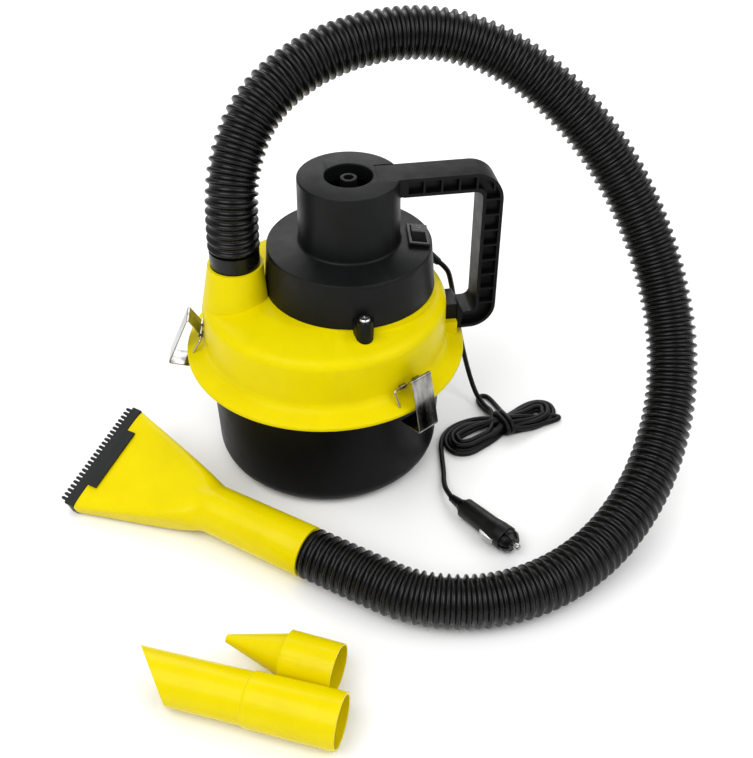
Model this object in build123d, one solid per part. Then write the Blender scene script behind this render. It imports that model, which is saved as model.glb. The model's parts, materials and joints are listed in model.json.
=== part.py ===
from build123d import *
import math
import os

# Canister vacuum, millimetres. Origin: centre of the tank's base, +Z up, +X towards the handle.

# ---- driving dimensions ----
tank_base_r = 90.0
tank_top_r = 93.0
tank_lip_r = 97.0
tank_lip_z = 99.0
tank_edge_r = 16.0
wall = 2.4

rim_r = 110.0
rim_z = 97.5
lid_wall_r = 95.0
lid_edge_z = 145.0
lid_top_z = 154.2

motor_x = 20.0
ring_base_r = 65.4
ring_top_r = 62.7
ring_base_z = 154.4
ring_top_z = 187.0
shoulder_z = 192.4
tower_r = 37.9
tower_top_z = 244.6
port_r = 17.8
port_depth = 12.0

lug_count = 2
lug_orbit_r = 72.0
lug_r = 5.9
lug_top_z = 167.0
lug_low_z = 148.5
lug_first_deg = -90.0

socket_x = -66.5
socket_r = 21.0
socket_top_z = 179.0
socket_foot_r = 28.5
socket_foot_z = 140.0
cuff_top_z = 192.0
cuff_r = 18.8
fit_gap = 0.06

hose_r = 19.5
hose_bore_r = 17.8

handle_half_width = 12.5
handle_outer_x = 134.0
handle_top_z = 244.2
handle_low_z = 107.4
handle_bar = 15.4
seat_floor_z = 226.8
motor_top_z = 221.4
boss_top_z = 243.2

clip_azimuths_deg = {"left": 174.0, "front": -58.0, "rear": 65.0}
clip_swings_deg = {"left": 10.5, "front": 0.0, "rear": 10.5}
clip_width = 19.0
clip_pivot_r = 97.7
clip_pivot_z = 114.0
wire_r = 0.9
staple_half_width = 15.5

nozzle_mouth = (-34.8, -152.3, 20.2)
nozzle_heading_deg = 140.4
nozzle_pitch_deg = -0.8
nozzle_roll_deg = -19.6
nozzle_r = 19.0
nozzle_front_x = 188.5
nozzle_width = 95.0
nozzle_thickness = 13.0

spare_socket_r = 19.0
spare_bore_r = 17.05
crevice_mouth = (-31.7, -297.2, 19.1)
crevice_heading_deg = 154.8
crevice_roll_deg = 81.4
crevice_cut_deg = 41.3
cone_socket_r = 18.1
cone_mouth = (-28.4, -257.6, 18.2)
cone_heading_deg = 151.4

cord_r = 2.1
boot_length = 17.0
plug_back = (92.0, -115.4, 8.8)
plug_heading_deg = -59.4
plug_pitch_deg = -2.0
plug_length = 53.5

switch_centre = (71.5, -5.0, 191.6)
switch_turn_deg = -6.0
switch_tilt_deg = 8.0
rocker_rest_deg = 9.0

hose_route = [
    (-66.5, 0.0, cuff_top_z),
    (-66.5, 0.0, 222.0),
    (-61.0, 16.0, 254.0),
    (-40.0, 40.0, 287.0),
    (2.0, 62.0, 309.0),
    (57.0, 77.0, 318.0),
    (112.0, 79.0, 314.0),
    (163.0, 63.0, 294.0),
    (207.0, 37.0, 258.0),
    (241.0, 8.0, 210.0),
    (263.0, -25.0, 155.0),
    (268.0, -65.0, 104.0),
    (253.0, -108.0, 62.0),
    (216.0, -157.0, 33.0),
    (161.0, -199.0, 20.0),
    (97.0, -221.0, 19.6),
    (37.0, -211.0, 19.6),
    (-3.2, -178.4, 19.65),
    nozzle_mouth,
]

lead_route = [
    (94.1, 18.4, 151.8),
    (102.4, 20.4, 143.4),
    (106.5, 23.0, 129.0),
    (111.0, 27.0, 108.0),
    (116.0, 31.0, 84.0),
    (122.0, 33.0, 58.0),
    (129.0, 31.0, 34.0),
    (134.0, 25.0, 15.0),
    (138.0, 14.0, 5.5),
    (141.0, 0.0, 3.0),
    (144.0, -12.0, 5.0),
]

tail_route = [
    (97.0, -42.0, 5.0),
    (90.0, -54.0, 3.0),
    (86.0, -68.0, 2.6),
    (83.5, -81.0, 3.6),
    (82.6, -91.4, 6.0),
    (84.6, -102.4, 8.2),
]


# ---- shared helpers ----
def outline(points):
    """Closed face in the XZ plane from (r, z) corners; a third number rounds the corner."""
    corners = [(p[0], 0, p[1]) for p in points]
    radii = [p[2] if len(p) > 2 else 0 for p in points]
    return make_face(FilletPolyline(*corners, radius=radii, close=True))


def turned(points, x=0.0, y=0.0):
    """Solid of revolution about a vertical axis at (x, y)."""
    return Pos(x, y, 0) * revolve(outline(points), Axis.Z)


def ring(outer_r, inner_r, low_z, high_z, x=0.0, y=0.0):
    return turned([(inner_r, low_z), (outer_r, low_z), (outer_r, high_z), (inner_r, high_z)], x, y)


def disc(radius, low_z, high_z, x=0.0, y=0.0):
    return Pos(x, y, low_z) * Cylinder(radius, high_z - low_z, align=(Align.CENTER, Align.CENTER, Align.MIN))


def block(low, high):
    size = [b - a for a, b in zip(low, high)]
    return Pos(*low) * Box(*size, align=(Align.MIN, Align.MIN, Align.MIN))


def along_x(points):
    """Solid of revolution about the X axis from (x, r) corners."""
    corners = [(p[0], 0, p[1]) for p in points]
    radii = [p[2] if len(p) > 2 else 0 for p in points]
    return revolve(make_face(FilletPolyline(*corners, radius=radii, close=True)), Axis.X)


def around(count, first_deg, make):
    return [make(first_deg + 360.0 * i / count) for i in range(count)]


def strip_outline(points, thickness):
    """Outline of a bent sheet, thickness wide, that follows an open line of (r, z) points."""
    half = thickness / 2
    left = []
    right = []
    for i, (r, z) in enumerate(points):
        before = points[max(i - 1, 0)]
        after = points[min(i + 1, len(points) - 1)]
        into = (r - before[0], z - before[1]) if i > 0 else (after[0] - r, after[1] - z)
        out = (after[0] - r, after[1] - z) if i < len(points) - 1 else into
        into_len = math.hypot(*into)
        out_len = math.hypot(*out)
        normal = (-into[1] / into_len - out[1] / out_len, into[0] / into_len + out[0] / out_len)
        normal_len = math.hypot(*normal)
        reach = 2 * half / normal_len
        step = (normal[0] / normal_len * reach, normal[1] / normal_len * reach)
        left.append((r + step[0], z + step[1]))
        right.append((r - step[0], z - step[1]))
    return left + right[::-1]


def run_radii(points):
    """Arc radii for a cord's tube: 0.45 of the shorter run over the tangent of half the turn."""
    radii = []
    for before, here, after in zip(points, points[1:], points[2:]):
        into = Vector(*here) - Vector(*before)
        out = Vector(*after) - Vector(*here)
        half_turn = math.radians(into.get_angle(out)) / 2
        radii.append(0.45 * min(into.length, out.length) / math.tan(half_turn))
    return radii


def tube(name, points, radius, bore=0.0):
    """Round tube along straight runs joined by tangent arcs."""
    radii = run_radii(points)
    path = FilletPolyline(*points, radius=radii)
    start = Plane(origin=path @ 0, z_dir=path % 0)
    section = start * Circle(radius)
    area = math.pi * radius**2
    if bore:
        section = section - start * Circle(bore)
        area -= math.pi * bore**2
    solid = sweep(section, path=path)
    print(name, "radii", [round(r) for r in radii], "mm, diameter", 2 * radius)
    ratio = solid.volume / (area * path.length)
    print(name, "length", round(path.length, 1), "volume ratio", round(ratio, 4))
    return solid


def placed(solid, origin, heading_deg, pitch_deg=0.0, roll_deg=0.0):
    """Turn a piece built along +X to its roll, pitch and heading, then move its origin."""
    turned_piece = solid.rotate(Axis.X, roll_deg)
    turned_piece = turned_piece.rotate(Axis.Y, pitch_deg).rotate(Axis.Z, heading_deg)
    return Pos(*origin) * turned_piece


# ---- tank ----
def tank():
    return turned([
        (0, 0),
        (tank_base_r, 0, tank_edge_r),
        (tank_top_r, tank_lip_z - 4, 1.0),
        (tank_lip_r, tank_lip_z - 4, 0.6),
        (tank_lip_r, tank_lip_z, 0.6),
        (tank_top_r - wall, tank_lip_z),
        (tank_base_r - wall, wall, tank_edge_r - wall),
        (0, wall),
    ])


# ---- lid ----
def lid():
    shell = turned([
        (0, lid_top_z - wall),
        (60, lid_top_z - wall),
        (lid_wall_r - 0.4 - wall, lid_edge_z - 1.2, 6),
        (lid_wall_r - wall, 104.8, 1.5),
        (rim_r - wall, rim_z, 0.4),
        (rim_r, rim_z, 0.8),
        (rim_r, rim_z + 3.0, 1.6),
        (lid_wall_r, 106.8, 8),
        (lid_wall_r - 0.4, lid_edge_z + 1.2, 9),
        (60, lid_top_z, 12),
        (0, lid_top_z),
    ])
    outside = disc(rim_r, rim_z, lid_edge_z) + disc(lid_wall_r - 0.4, lid_edge_z, socket_top_z)
    plateau = disc(ring_base_r + 1.2, lid_top_z - 6, lid_top_z, motor_x)
    plateau -= disc(ring_base_r - 1.2, lid_top_z - 7, lid_top_z - wall, motor_x)
    socket = disc(socket_r, 128, socket_top_z, socket_x)
    foot_height = socket_top_z - socket_foot_z
    foot_align = (Align.CENTER, Align.CENTER, Align.MIN)
    foot = Pos(socket_x, 0, socket_foot_z) * Cone(socket_foot_r, socket_r, foot_height, align=foot_align)
    socket += foot - disc(ring_base_r + 0.5, lid_top_z, socket_top_z, motor_x)
    bracket = block((88, -16, 104), (103.6, 16, 115.8))
    body = shell + (plateau & outside) + socket + bracket
    body -= disc(cuff_r + fit_gap, 120, socket_top_z + 1, socket_x)
    body -= disc(30, lid_top_z - 8, lid_top_z + 1, motor_x)
    body -= disc(lid_wall_r - wall - 0.5, 90, socket_foot_z) - disc(socket_r, 120, socket_top_z, socket_x)
    pocket_y = handle_half_width - 1.2
    body -= block((90, -pocket_y, 115.8), (106, pocket_y, 130.4))
    return body


def lid_gasket():
    return ring(96.4, 91.0, tank_lip_z + 0.3, tank_lip_z + 2.6)


def inlet_deflector():
    scoop = ring(cuff_r + fit_gap, cuff_r - 2.1, 108, 130, socket_x)
    slope = block((socket_x - 40, -40, 90), (socket_x + 40, 40, 116))
    return scoop - slope.rotate(Axis((socket_x, 0, 116), (0, 1, 0)), 32)


# ---- motor housing and top cover ----
def housing_ring():
    wall_ring = turned([
        (ring_base_r - 2.5, ring_base_z),
        (ring_base_r, ring_base_z),
        (ring_top_r, ring_top_z),
        (ring_top_r - 2.5, ring_top_z),
    ], motor_x)
    inside = disc(ring_base_r - 2.4, ring_base_z - 1, ring_top_z + 1, motor_x)

    lid_face = turned([
        (0, 140),
        (lid_wall_r, 140),
        (lid_wall_r - 0.4, lid_edge_z + 1.4),
        (60, lid_top_z + 0.15),
        (0, lid_top_z + 0.15),
    ])
    lid_face += disc(ring_base_r + 1.3, 140, lid_top_z + 0.15, motor_x)

    def lug(azimuth_deg):
        post = disc(lug_r, lug_low_z, lug_top_z, lug_orbit_r)
        tip = lug_orbit_r + 2
        web_plan = outline_xy([(54, -10.5, 0), (tip, -lug_r, 0), (tip, lug_r, 0), (54, 10.5, 0)])
        web = Pos(0, 0, lug_low_z) * extrude(web_plan, amount=lug_top_z - 4 - lug_low_z)
        hole = disc(2.0, lug_top_z - 9, lug_top_z + 1, lug_orbit_r)
        return Pos(motor_x, 0, 0) * (post + web - hole).rotate(Axis.Z, azimuth_deg)

    body = wall_ring
    for piece in around(lug_count, lug_first_deg, lug):
        body += piece - inside - lid_face
    return body - boot_cone()


def housing_screws():
    def screw(azimuth_deg):
        head = disc(4.0, lug_top_z, lug_top_z + 2.2, lug_orbit_r)
        head = fillet(head.edges().group_by(Axis.Z)[-1], 1.2)
        shank = disc(1.95, lug_top_z - 8, lug_top_z, lug_orbit_r)
        slot = block((lug_orbit_r - 2.2, -0.45, lug_top_z + 1.2), (lug_orbit_r + 2.2, 0.45, lug_top_z + 3))
        cross = slot + slot.rotate(Axis((lug_orbit_r, 0, 0), (0, 0, 1)), 90)
        return Pos(motor_x, 0, 0) * (head + shank - cross).rotate(Axis.Z, azimuth_deg)

    return Compound(around(lug_count, lug_first_deg, screw))


def top_cover():
    shell = turned([
        (port_r, tower_top_z, 0.8),
        (port_r, tower_top_z - port_depth),
        (port_r + 2.4, tower_top_z - port_depth),
        (port_r + 2.4, tower_top_z - 2.8),
        (tower_r - 2.6, tower_top_z - 2.8),
        (tower_r - 2.6, shoulder_z - 2.6),
        (ring_top_r - 0.3, ring_top_z),
        (ring_top_r - 0.1, ring_top_z),
        (ring_top_r - 0.2, ring_top_z + 2.6, 0.9),
        (tower_r + 0.4, shoulder_z + 0.4, 2.0),
        (tower_r, tower_top_z, 1.0),
    ], motor_x)
    socket_y = handle_half_width + 0.1
    seat_box = block((38.4, -15, seat_floor_z), (58, 15, tower_top_z - 1))
    seat_box &= disc(tower_r - 1, 220, 250, motor_x)
    seat = block((40.2, -socket_y, handle_top_z - handle_bar + 0.7), (60, socket_y, tower_top_z + 1))
    window = placed_switch(block((-6.7, -12.7, -9), (6.7, 12.7, 9)))
    port = disc(port_r, tower_top_z - port_depth, tower_top_z, motor_x)
    return shell + (seat_box - port) - seat - window - handle_screws()


# ---- handle ----
def handle():
    low_inner_z = handle_low_z + handle_bar
    top_inner_z = handle_top_z - handle_bar + 0.6
    inner_x = handle_outer_x - handle_bar
    profile = outline([
        (40.4, handle_top_z),
        (handle_outer_x, handle_top_z, 23),
        (handle_outer_x + 0.6, handle_low_z, 20),
        (104.0, handle_low_z),
        (104.0, 116.2),
        (93.4, 116.2),
        (93.4, 130.0, 1.5),
        (104.0, 130.0, 2.0),
        (107.0, low_inner_z, 3.0),
        (inner_x, low_inner_z, 6),
        (inner_x - 0.4, top_inner_z, 6),
        (58.4, top_inner_z),
        (58.4, top_inner_z + 0.4),
        (40.4, top_inner_z + 0.4),
    ])
    body = extrude(profile, amount=handle_half_width, dir=(0, 1, 0), both=True)
    tongue_trim = block((90, 11.1, 116.0), (103.9, 14, 131)) + block((90, -14, 116.0), (103.9, -11.1, 131))
    body -= tongue_trim + handle_screws()
    return body - handle_channels(top_inner_z, low_inner_z, inner_x)


def handle_channels(top_inner_z, low_inner_z, inner_x):
    """Open channels in both sides of the grip, crossed by stiffening ribs."""
    rim = 2.6
    depth = 5.5
    channel = outline([
        (62, handle_top_z - rim),
        (handle_outer_x - rim, handle_top_z - rim, 20.4),
        (handle_outer_x + 0.6 - rim, handle_low_z + rim, 17.4),
        (107, handle_low_z + rim),
        (109, low_inner_z - rim),
        (inner_x + rim, low_inner_z - rim, 6),
        (inner_x - 0.4 + rim, top_inner_z + rim, 6),
        (62, top_inner_z + rim),
    ])
    cut = extrude(channel, amount=depth, dir=(0, 1, 0))
    rib_pitch = 13.2
    rib = 1.5
    for i in range(5):
        x = 73.0 + rib_pitch * i
        cut -= block((x, 0, top_inner_z), (x + rib, depth, handle_top_z))
    for i in range(8):
        z = 129.0 + rib_pitch * i
        cut -= block((inner_x - 1, 0, z), (handle_outer_x + 1, depth, z + rib))
    near = Pos(0, -handle_half_width, 0) * cut
    far = Pos(0, handle_half_width - depth, 0) * cut
    return near + far


def handle_screws():
    def screw(y):
        return disc(1.6, seat_floor_z, 238.0, 50.0, y) + disc(3.2, seat_floor_z - 2.2, seat_floor_z, 50.0, y)

    return Compound([screw(-6.0), screw(6.0)])


# ---- motor and fan ----
def motor_can():
    return turned([
        (22.6, 172.0),
        (24.2, 172.0),
        (24.2, motor_top_z, 2.0),
        (6.4, motor_top_z),
        (6.4, motor_top_z + 5.6, 0.8),
        (3.2, motor_top_z + 5.6),
        (3.2, motor_top_z - 1.6),
        (22.6, motor_top_z - 1.6),
    ], motor_x)


def motor_end_plate():
    plate = ring(22.55, 3.2, 172.2, 174.6, motor_x)
    for side in (-1, 1):
        guide = block((5.8, -2.6, 174.6), (15.0, 2.6, 181.4)) - block((5.0, -1.5, 175.8), (16.0, 1.5, 180.2))
        plate += Pos(motor_x, 0, 0) * guide.rotate(Axis.Z, 90 + 90 * side)
    return plate


def carbon_brushes():
    brush = block((4.9, -1.45, 175.9), (11.0, 1.45, 180.1))
    return Compound([Pos(motor_x, 0, 0) * brush.rotate(Axis.Z, turn) for turn in (0, 180)])


def motor_magnets():
    arc = ring(22.5, 20.6, 186.0, 213.0) & block((0, -18, 180), (30, 18, 216))
    return Compound([Pos(motor_x, 0, 0) * arc.rotate(Axis.Z, turn) for turn in (0, 180)])


def motor_bushes():
    low_bush = ring(3.2, 1.55, 172.2, 175.6, motor_x)
    return Compound([low_bush, ring(3.2, 1.55, motor_top_z, motor_top_z + 5.0, motor_x)])


def motor_cap():
    """Cap on the motor, with the hollow boss that shows in the port."""
    return turned([
        (22.0, motor_top_z + 0.1),
        (22.0, motor_top_z + 2.0, 0.6),
        (8.6, motor_top_z + 2.0),
        (8.6, motor_top_z + 8.0, 1.0),
        (6.3, motor_top_z + 10.0, 1.0),
        (6.3, boss_top_z, 0.6),
        (3.6, boss_top_z, 0.4),
        (3.6, motor_top_z + 6.6),
        (6.6, motor_top_z + 6.6),
        (6.6, motor_top_z + 0.1),
    ], motor_x)


def motor_mount():
    plate = ring(59.0, 24.4, 173.0, 175.2, motor_x) + ring(26.4, 24.4, 175.2, 186.0, motor_x)
    for piece in around(8, 0.0, lambda turn: block((30, -6, 170), (46, 6, 180)).rotate(Axis.Z, turn)):
        plate -= Pos(motor_x, 0, 0) * piece
    return plate


def motor_shaft():
    return disc(1.5, 155.2, motor_top_z + 4.6, motor_x)


def armature():
    core = ring(20.0, 1.5, 190.0, 209.0, motor_x)
    for turn in range(0, 360, 72):
        slot = block((12, -1.2, 189), (21, 1.2, 210)).rotate(Axis.Z, turn)
        core -= Pos(motor_x, 0, 0) * slot
    return core + ring(13.0, 1.5, 209.0, 214.0, motor_x) + ring(13.0, 1.5, 185.0, 190.0, motor_x)


def commutator():
    return ring(4.7, 1.5, 175.9, 184.6, motor_x)


def impeller():
    hub = ring(8.0, 1.5, 158.0, 171.5, motor_x)
    back_plate = ring(52.0, 1.5, 170.0, 171.5, motor_x)
    body = hub + back_plate

    def vane(azimuth_deg):
        blade = block((11.0, -0.7, 158.6), (51.0, 0.7, 170.2)).rotate(Axis((11, 0, 0), (0, 0, 1)), 28)
        return Pos(motor_x, 0, 0) * blade.rotate(Axis.Z, azimuth_deg)

    trim = ring(51.5, 7.5, 158.0, 172.0, motor_x)
    for piece in around(9, 0.0, vane):
        body += piece & trim
    return body


def impeller_nut():
    hexagon = extrude(RegularPolygon(3.4, 6), amount=2.4)
    return Pos(motor_x, 0, 155.5) * (hexagon - Cylinder(1.5, 10))


def fan_inlet_plate():
    return ring(62.2, 20.0, 154.6, 156.2, motor_x)


# ---- filter and float ----
def filter_cage():
    cage = ring(42.0, 39.8, 64.0, 150.6, motor_x) + ring(46.5, 39.8, 148.6, 150.6, motor_x)
    cage += disc(42.0, 64.0, 66.2, motor_x)
    for piece in around(8, 22.5, lambda turn: block((30, -11, 76), (50, 11, 138)).rotate(Axis.Z, turn)):
        cage -= Pos(motor_x, 0, 0) * piece
    for piece in around(6, 0.0, lambda turn: disc(6.0, 60, 70, 26).rotate(Axis.Z, turn)):
        cage -= Pos(motor_x, 0, 0) * piece
    return cage


def filter_sleeve():
    return turned([
        (0, 60.0), (45.6, 60.0, 4.0), (45.6, 146.0), (42.3, 146.0), (42.3, 63.6), (0, 63.6),
    ], motor_x)


def filter_band():
    return ring(47.6, 45.7, 136.0, 142.0, motor_x)


def float_seat():
    return ring(39.6, 10.0, 146.0, 149.0, motor_x)


def float_ball():
    return Pos(motor_x, 0, 79.0) * Sphere(12.4)


# ---- clips ----
def clip(swing_deg):
    """One latch clip in its own radial plane: X is outwards, Y along the rim, Z up."""
    path = [
        (clip_pivot_r + 0.9, clip_pivot_z + 1.6),
        (109.4, 127.7),
        (120.1, 84.0),
        (99.4, 83.0),
    ]
    edge = [(r, 0, z) for r, z in strip_outline(path, 1.1)]
    sheet = make_face(Polyline(*edge, close=True))
    body = extrude(sheet, amount=clip_width / 2, dir=(0, 1, 0), both=True)
    eye_r = 2.2
    eye = Pos(clip_pivot_r, 0, clip_pivot_z) * Cylinder(eye_r, clip_width, rotation=(90, 0, 0))
    hole_r = wire_r + fit_gap
    hole = Pos(clip_pivot_r, 0, clip_pivot_z) * Cylinder(hole_r, clip_width + 2, rotation=(90, 0, 0))
    pivot = Axis((clip_pivot_r, 0, clip_pivot_z), (0, 1, 0))
    return (body + eye - hole).rotate(pivot, -swing_deg)


def staple():
    """Sprung wire staple: a cross bar for the clip and two legs into the rim."""
    points = [
        (103.8, -staple_half_width, 98.6),
        (103.8, -staple_half_width, 103.6),
        (clip_pivot_r, -staple_half_width, clip_pivot_z),
        (clip_pivot_r, staple_half_width, clip_pivot_z),
        (103.8, staple_half_width, 103.6),
        (103.8, staple_half_width, 98.6),
    ]
    path = FilletPolyline(*points, radius=[1.6, 2.4, 2.4, 1.6])
    return sweep(Plane(origin=path @ 0, z_dir=path % 0) * Circle(wire_r), path=path)


def latch_staples():
    return Compound([staple().rotate(Axis.Z, turn) for turn in clip_azimuths_deg.values()])


# ---- switch ----
def placed_switch(piece):
    return Pos(*switch_centre) * piece.rotate(Axis.Y, switch_tilt_deg).rotate(Axis.Z, switch_turn_deg)


def switch_bezel():
    frame = Pos(0, 0, 1.0) * Box(16.0, 29.0, 2.4)
    frame = fillet(frame.edges().group_by(Axis.Z)[-1], 0.8)
    sleeve = block((-6.5, -12.5, -8), (6.5, 12.5, 0))
    opening = block((-5.6, -11.6, -6.5), (5.6, 11.6, 4))
    return placed_switch(frame + sleeve - opening)


def switch_rocker():
    profile = outline([(-9.8, -4.0), (9.8, -4.0), (11.0, 1.6, 0.6), (0, 3.2, 4.0), (-11.0, 1.6, 0.6)])
    rocker = extrude(profile, amount=5.3, dir=(0, 1, 0), both=True).rotate(Axis.Z, 90)
    return placed_switch(rocker.rotate(Axis.X, rocker_rest_deg).translate((0, 0, 1.2)))


def switch_body():
    return placed_switch(block((-6.2, -12.2, -12), (6.2, 12.2, -8)))


def switch_terminals():
    return Compound([placed_switch(block((-2.4, y - 0.4, -15), (2.4, y + 0.4, -12))) for y in (-7.0, 7.0)])


# ---- hose and floor nozzle ----
def hose_top_cuff():
    return ring(cuff_r, 16.4, 134.0, cuff_top_z, socket_x)


def placed_nozzle(piece):
    return placed(piece, nozzle_mouth, nozzle_heading_deg, nozzle_pitch_deg, nozzle_roll_deg)


def hose_end_cuff():
    return placed_nozzle(along_x([(0.2, 15.2), (30, 15.2), (30, 16.9), (0.2, 16.9)]))


def nozzle_section(x, width, height, corner):
    return Plane(origin=(x, 0, 0), x_dir=(0, 1, 0), z_dir=(1, 0, 0)) * RectangleRounded(width, height, corner)


def floor_nozzle():
    neck = 88.0
    mouth_r = nozzle_r + 0.5
    outer_tube = along_x([(0.6, 0), (0.6, mouth_r, 0.5), (neck + 4, nozzle_r - 0.2), (neck + 4, 0)])
    inner_tube = along_x([(0, 0), (0, 16.96), (32, 16.96), (32, 15.4), (neck + 1, 15.4), (neck + 1, 0)])
    head_depth = 2 * nozzle_r - 1.0
    front_size = (nozzle_width, nozzle_thickness, 3.0)
    outer_head = loft([
        nozzle_section(neck, head_depth, head_depth, 17.0),
        nozzle_section(nozzle_front_x, *front_size),
    ], ruled=True)
    inner_head = loft([
        nozzle_section(neck, 28.0, 28.0, 12.0),
        nozzle_section(nozzle_front_x + 1, nozzle_width - 5.0, nozzle_thickness - 4.0, 2.0),
    ], ruled=True)
    return placed_nozzle(outer_tube + outer_head - inner_tube - inner_head)


def comb_strip():
    half = nozzle_width / 2
    front = nozzle_front_x
    bar = block((front + 0.05, -half, -6.4), (front + 6.5, half, 7.4))
    bar = chamfer(bar.edges().filter_by(Axis.Y).group_by(Axis.X)[-1], 1.6)
    bar -= block((front - 1, -half + 8, -3.6), (front + 7, half - 8, 3.6))
    teeth = 24
    pitch = (nozzle_width - 3.0) / teeth
    for i in range(teeth):
        y = -half + 1.5 + pitch * (i + 0.5)
        bar += block((front + 4, y - 1.1, 4.0), (front + 14, y + 1.1, 6.6))
    return placed_nozzle(bar)


def comb_clip():
    top = nozzle_thickness / 2
    plate = block((nozzle_front_x - 9, -27, top + 0.1), (nozzle_front_x - 0.3, 27, top + 1.9))
    return placed_nozzle(plate.rotate(Axis((nozzle_front_x, 0, top), (0, 1, 0)), 6.3))


# ---- loose nozzles ----
def crevice_nozzle():
    sleeve = 62.0
    end_x = 152.5
    outer = along_x([
        (0, 0),
        (0, spare_socket_r),
        (sleeve, spare_socket_r - 0.5),
        (sleeve + 1.4, 17.5),
        (end_x, 17.2),
        (end_x, 0),
    ])
    inner = along_x([
        (-1, 0),
        (-1, spare_bore_r),
        (38, spare_bore_r),
        (40, 16.0),
        (end_x + 1, 15.6),
        (end_x + 1, 0),
    ])
    cut_x = 131.0
    slant = Pos(cut_x, 0, 0) * Box(90, 90, 90, align=(Align.MIN, Align.CENTER, Align.CENTER))
    slant = slant.rotate(Axis((cut_x, 0, 0), (0, 1, 0)), crevice_cut_deg)
    return placed(outer - inner - slant, crevice_mouth, crevice_heading_deg, 0.0, crevice_roll_deg)


def cone_nozzle():
    sleeve_end = (37, cone_socket_r - 0.3, 0.3)
    outer = along_x([(0, 0), (0, cone_socket_r), sleeve_end, (37.6, 15.0), (81, 2.9), (81, 0)])
    inner = along_x([(-1, 0), (-1, spare_bore_r), (33, spare_bore_r), (35, 13.4), (82, 1.4), (82, 0)])
    return placed(outer - inner, cone_mouth, cone_heading_deg)


# ---- power cord and plug ----
def boot_cone():
    d = Vector(*lead_route[1]) - Vector(*lead_route[0])
    end = Plane(origin=Vector(*lead_route[0]), z_dir=d)
    root = Plane(origin=Vector(*lead_route[0]) - d.normalized() * boot_length, z_dir=d)
    return loft([root * Circle(4.6), end * Circle(3.0)])


def cord_boot():
    return boot_cone() - disc(ring_base_r - 4.0, ring_base_z, ring_top_z, motor_x)


def cord_hank():
    """Outer shape of the tied hank: a wide lobe each side of a narrow waist."""
    shape = outline_xy([
        (95, -27, 10), (99, -56, 10), (122, -58, 8), (146, -40, 8), (178, -46, 12), (204, -30, 8),
        (204, -6, 10), (182, 12, 8), (158, -6, 8), (140, -8, 10), (118, 2, 12),
    ])
    body = extrude(shape, amount=13.0)
    body = chamfer(body.edges().group_by(Axis.Z)[-1], 3.5)
    return Pos(0, 0, 0.2) * body


def outline_xy(points):
    corners = [(p[0], p[1], 0) for p in points]
    return make_face(FilletPolyline(*corners, radius=[p[2] for p in points], close=True))


def placed_plug(piece):
    return placed(piece, plug_back, plug_heading_deg, plug_pitch_deg)


def plug_boot():
    return placed_plug(along_x([(-15, 0), (-15, 3.0), (-4, 4.4), (0, 6.0), (0, 0)]))


def plug_body():
    shell = along_x([(0, 0), (0, 8.2, 1.6), (28, 8.9, 4), (38, 10.1, 1.5), (46, 10.1, 0.8), (46, 0)])
    hollow = along_x([(12, 0), (12, 3.6), (47, 3.6), (47, 0)])
    pockets = block((25.5, 7.2, -2.7), (41.5, 13, 2.7)) + block((25.5, -13, -2.7), (41.5, -7.2, 2.7))
    return placed_plug(shell - hollow - pockets)


def plug_nose():
    return placed_plug(along_x([
        (46.1, 2.7),
        (46.1, 9.4),
        (50, 9.0, 1.4),
        (plug_length, 6.2, 0.8),
        (plug_length, 2.7),
    ]))


def side_contacts():
    spring = block((26, 7.6, -2.2), (41, 11.5, 2.2))
    spring = fillet(spring.edges().filter_by(Axis.Z).group_by(Axis.Y)[-1], 3.4)
    return Compound([placed_plug(spring), placed_plug(spring.rotate(Axis.X, 180))])


def plug_tip():
    return placed_plug(along_x([(48, 0), (48, 2.62), (59, 2.62, 1.2), (59, 0)]))


def plug_fuse():
    return placed_plug(along_x([(16, 0), (16, 3.1), (42, 3.1), (42, 0)]))


# ---- export ----
def build():
    nodes = {
        "tank": tank(),
        "lid": lid(),
        "lid_gasket": lid_gasket(),
        "inlet_deflector": inlet_deflector(),
        "housing_ring": housing_ring(),
        "housing_screws": housing_screws(),
        "top_cover": top_cover(),
        "handle": handle(),
        "handle_screws": handle_screws(),
        "motor_can": motor_can(),
        "motor_end_plate": motor_end_plate(),
        "carbon_brushes": carbon_brushes(),
        "motor_magnets": motor_magnets(),
        "motor_bushes": motor_bushes(),
        "motor_cap": motor_cap(),
        "motor_mount": motor_mount(),
        "motor_shaft": motor_shaft(),
        "armature": armature(),
        "commutator": commutator(),
        "impeller": impeller(),
        "impeller_nut": impeller_nut(),
        "fan_inlet_plate": fan_inlet_plate(),
        "filter_cage": filter_cage(),
        "filter_sleeve": filter_sleeve(),
        "filter_band": filter_band(),
        "float_seat": float_seat(),
        "float_ball": float_ball(),
        "latch_staples": latch_staples(),
        "switch_bezel": switch_bezel(),
        "switch_rocker": switch_rocker(),
        "switch_body": switch_body(),
        "switch_terminals": switch_terminals(),
        "hose_top_cuff": hose_top_cuff(),
        "hose_tube": tube("hose", hose_route, hose_r, hose_bore_r),
        "hose_end_cuff": hose_end_cuff(),
        "floor_nozzle": floor_nozzle(),
        "comb_strip": comb_strip(),
        "comb_clip": comb_clip(),
        "crevice_nozzle": crevice_nozzle(),
        "cone_nozzle": cone_nozzle(),
        "cord_boot": cord_boot(),
        "cord_lead": tube("lead", lead_route, cord_r),
        "cord_hank": cord_hank(),
        "cord_tail": tube("tail", tail_route, cord_r),
        "plug_boot": plug_boot(),
        "plug_body": plug_body(),
        "plug_nose": plug_nose(),
        "side_contacts": side_contacts(),
        "plug_tip": plug_tip(),
        "plug_fuse": plug_fuse(),
    }
    for side, azimuth_deg in clip_azimuths_deg.items():
        nodes["latch_clip_" + side] = clip(clip_swings_deg[side]).rotate(Axis.Z, azimuth_deg)
    return nodes


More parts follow.
